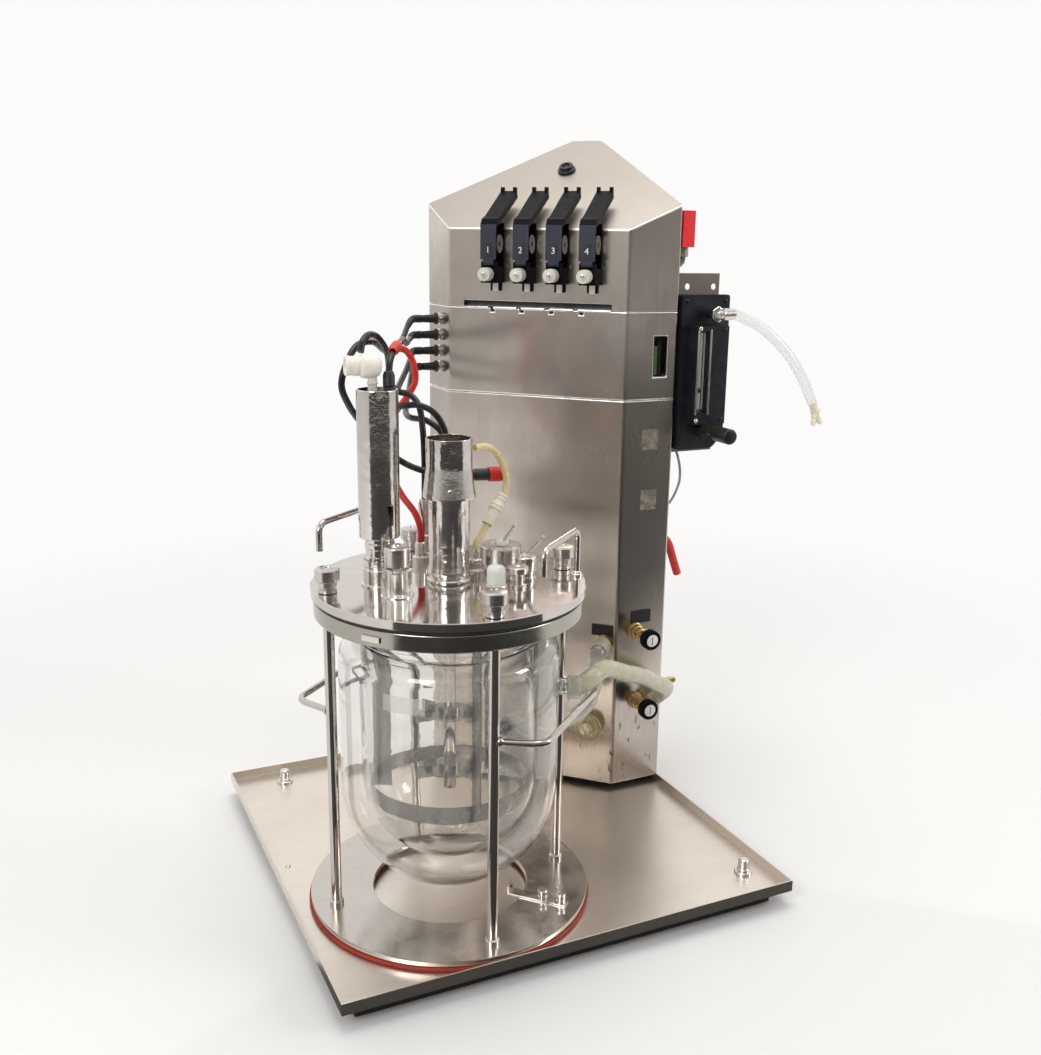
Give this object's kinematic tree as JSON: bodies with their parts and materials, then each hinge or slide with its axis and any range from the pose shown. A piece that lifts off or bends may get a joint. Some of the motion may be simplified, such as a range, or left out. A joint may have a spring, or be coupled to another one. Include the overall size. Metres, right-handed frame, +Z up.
{
  "type": "bench bioreactor",
  "caption": "Bench bioreactor: jacketed glass vessel with a turbine stirrer in a rod stand, beside a sloped-top control tower with peristaltic pump heads, on a stainless tray.",
  "frame": {"origin": "on the bench under the middle of the box of the rigid pieces, free hoses and cables left out", "axes": "+Z up, +X to the right along the tray's front edge, +Y to the back"},
  "size_m": [0.6189, 0.459, 0.7384],
  "materials": {
    "brushed_steel_sheet": "brushed stainless sheet with fine scratches",
    "polished_steel": "polished stainless steel",
    "black_paint": "matt black",
    "black_plastic": "moulded black",
    "black_anodised": "black anodised",
    "navy_plastic": "dark blue and black moulding",
    "clear_glass": "clear borosilicate glass",
    "red_silicone": "red silicone",
    "black_rubber": "matt black rubber",
    "clear_hose": "translucent hose, slightly yellowed",
    "cream_plastic": "cream plastic",
    "red_enamel": "red head on a chrome elbow"
  },
  "bodies": {
    "frame": {"tray": "brushed_steel_sheet", "tower_lower_case": "brushed_steel_sheet", "tower_middle_case": "brushed_steel_sheet", "tower_top_case": "brushed_steel_sheet", "side_bracket": "brushed_steel_sheet", "vessel_stand": "polished_steel", "thumb_nut_1": "polished_steel", "thumb_nut_2": "polished_steel", "thumb_nut_3": "polished_steel", "thumb_nut_4": "polished_steel", "clamp_ring": "polished_steel", "head_plate": "polished_steel", "baffle_cage": "polished_steel", "drive_hub": "polished_steel", "drive_sleeve": "polished_steel", "condenser": "polished_steel", "addition_cap": "polished_steel", "base_frame": "black_paint", "tower_plinth": "black_paint", "roof_plug": "black_plastic", "pump_1_body": "black_plastic", "pump_2_body": "black_plastic", "pump_3_body": "black_plastic", "pump_4_body": "black_plastic", "flow_meter": "black_anodised", "glass_vessel": "clear_glass", "addition_glass": "clear_glass", "flow_tube": "clear_glass", "silicone_mat": "red_silicone", "red_hose": "red_silicone", "red_lead": "red_silicone", "vessel_gasket": "black_rubber", "cable_1": "black_rubber", "cable_2": "black_rubber", "cable_3": "black_rubber", "cable_4": "black_rubber", "cable_5": "black_rubber", "water_hose_upper": "clear_hose", "water_hose_lower": "clear_hose", "gas_hose": "clear_hose", "feed_hose": "clear_hose", "drain_coil": "clear_hose", "hose_connector": "cream_plastic", "gas_hose_fitting": "cream_plastic", "vent_elbow": "cream_plastic", "relief_valve": "red_enamel"},
    "stirrer": {"stirrer_shaft": "polished_steel", "impeller_lower": "polished_steel", "impeller_upper": "polished_steel"},
    "flow_knob_body": {"flow_knob": "black_plastic"},
    "upper_valve_body": {"valve_knob_upper": "black_plastic"},
    "lower_valve_body": {"valve_knob_lower": "black_plastic"},
    "rotor_1": {"pump_1_rotor": "polished_steel"},
    "cover_1": {"pump_1_cover": "navy_plastic"},
    "rotor_2": {"pump_2_rotor": "polished_steel"},
    "cover_2": {"pump_2_cover": "navy_plastic"},
    "rotor_3": {"pump_3_rotor": "polished_steel"},
    "cover_3": {"pump_3_cover": "navy_plastic"},
    "rotor_4": {"pump_4_rotor": "polished_steel"},
    "cover_4": {"pump_4_cover": "navy_plastic"}
  },
  "joints": [
    {"name": "stirrer_spin", "type": "hinge", "parent": "frame", "child": "stirrer", "pos_m": [-0.1095, -0.0897, 0.2], "axis": [0, 0, 1], "continuous": true},
    {"name": "rotor_1_spin", "type": "hinge", "parent": "frame", "child": "rotor_1", "pos_m": [0.02131, 0.11911, 0.6215], "axis": [0.7071, -0.7071, 0], "continuous": true},
    {"name": "cover_1_open", "type": "hinge", "parent": "frame", "child": "cover_1", "pos_m": [0.01601, 0.1138, 0.6014], "axis": [0.7071, -0.7071, 0], "range_deg": [0, 70]},
    {"name": "rotor_2_spin", "type": "hinge", "parent": "frame", "child": "rotor_2", "pos_m": [0.04655, 0.09386, 0.6215], "axis": [0.7071, -0.7071, 0], "continuous": true},
    {"name": "cover_2_open", "type": "hinge", "parent": "frame", "child": "cover_2", "pos_m": [0.04125, 0.08856, 0.6014], "axis": [0.7071, -0.7071, 0], "range_deg": [0, 70]},
    {"name": "rotor_3_spin", "type": "hinge", "parent": "frame", "child": "rotor_3", "pos_m": [0.0718, 0.06862, 0.6215], "axis": [0.7071, -0.7071, 0], "continuous": true},
    {"name": "cover_3_open", "type": "hinge", "parent": "frame", "child": "cover_3", "pos_m": [0.06649, 0.06331, 0.6014], "axis": [0.7071, -0.7071, 0], "range_deg": [0, 70]},
    {"name": "rotor_4_spin", "type": "hinge", "parent": "frame", "child": "rotor_4", "pos_m": [0.09704, 0.04337, 0.6215], "axis": [0.7071, -0.7071, 0], "continuous": true},
    {"name": "cover_4_open", "type": "hinge", "parent": "frame", "child": "cover_4", "pos_m": [0.09174, 0.03807, 0.6014], "axis": [0.7071, -0.7071, 0], "range_deg": [0, 70]},
    {"name": "flow_knob_turn", "type": "hinge", "parent": "frame", "child": "flow_knob_body", "pos_m": [0.226, -0.0145, 0.4295], "axis": [0, -1, 0], "range_deg": [-360, 360]},
    {"name": "upper_valve_turn", "type": "hinge", "parent": "frame", "child": "upper_valve_body", "pos_m": [0.157, -0.0045, 0.206], "axis": [0, -1, 0], "range_deg": [-180, 180]},
    {"name": "lower_valve_turn", "type": "hinge", "parent": "frame", "child": "lower_valve_body", "pos_m": [0.161, -0.0045, 0.122], "axis": [0, -1, 0], "range_deg": [-180, 180]}
  ]
}
